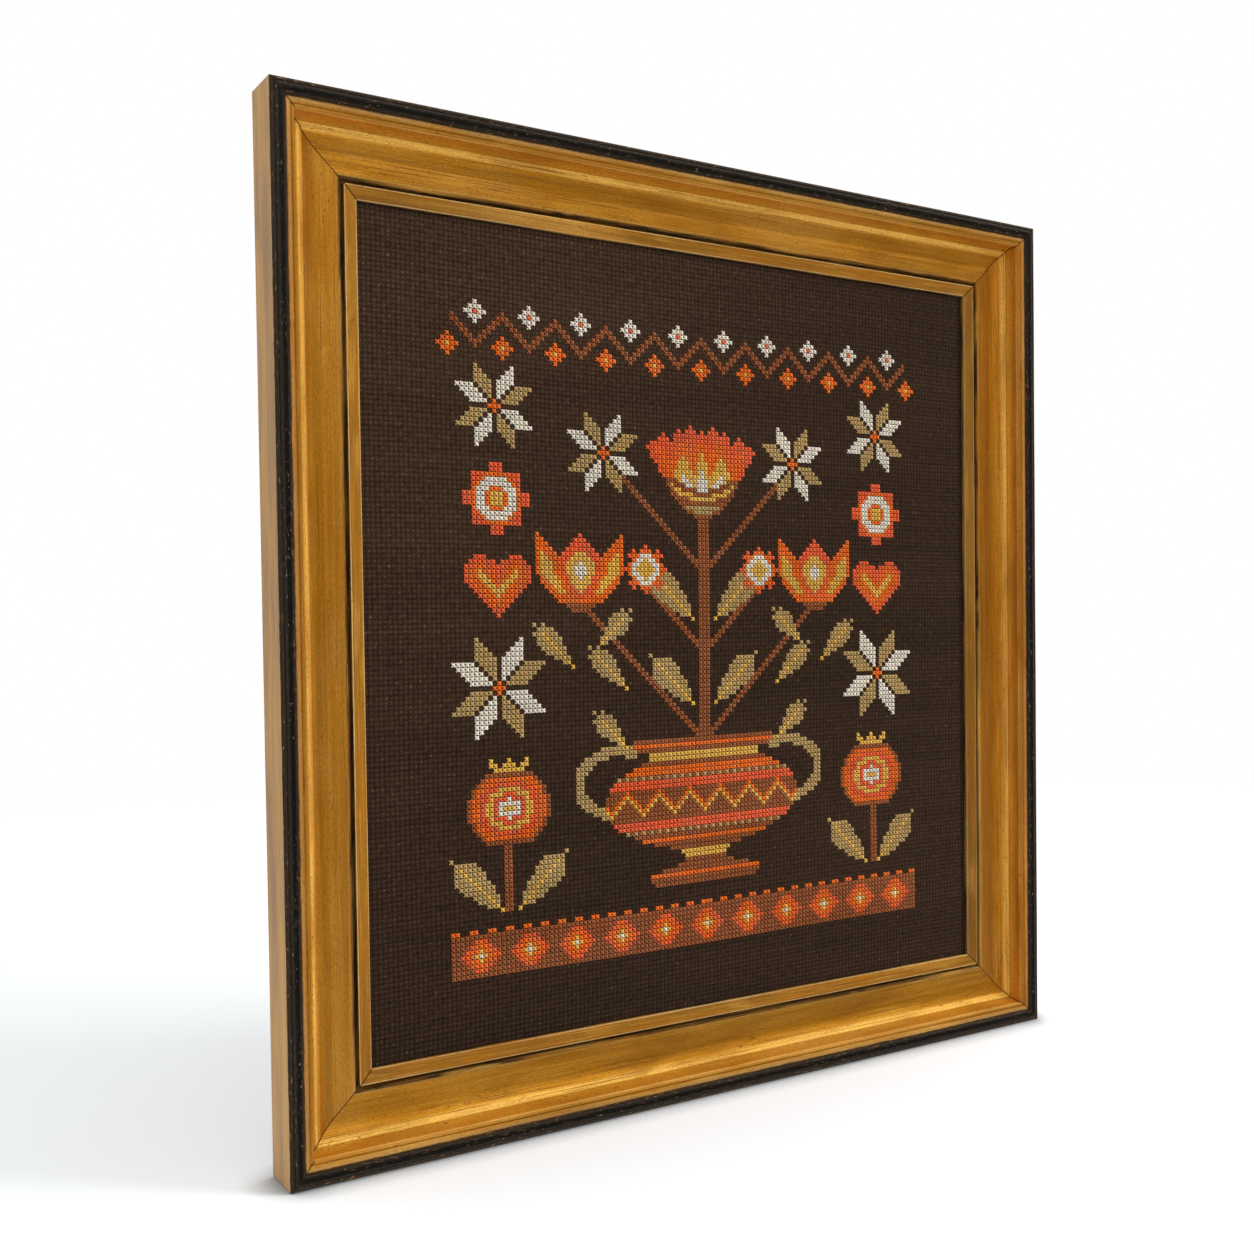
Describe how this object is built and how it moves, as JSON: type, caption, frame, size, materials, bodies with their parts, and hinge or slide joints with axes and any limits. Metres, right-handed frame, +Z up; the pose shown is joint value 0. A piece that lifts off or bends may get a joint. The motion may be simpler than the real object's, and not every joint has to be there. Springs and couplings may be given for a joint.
{
  "type": "framed cross stitch embroidery in a gilded wood frame",
  "caption": "Flat cross stitch embroidery on dark even-weave cloth, held under a gilded slip in a mitred scoop frame; stands on its bottom edge or lies against a wall.",
  "frame": {"origin": "middle of the footprint, on the surface that the bottom edge stands on", "axes": "+Z up, the embroidered side faces -Y, the back faces +Y, +X to the viewer's right"},
  "size_m": [0.45, 0.026, 0.475],
  "materials": {
    "moulding": "gilded face with a worn black outer band and raw outer sides",
    "slip": "satin gilding",
    "cloth": "matte brown even-weave with coloured cotton cross stitch",
    "board": "matte grey board"
  },
  "bodies": {
    "root": {"rail_bottom": "moulding", "rail_right": "moulding", "rail_top": "moulding", "rail_left": "moulding", "slip_bottom": "slip", "slip_right": "slip", "slip_top": "slip", "slip_left": "slip", "cloth": "cloth", "backing_board": "board"}
  },
  "joints": []
}
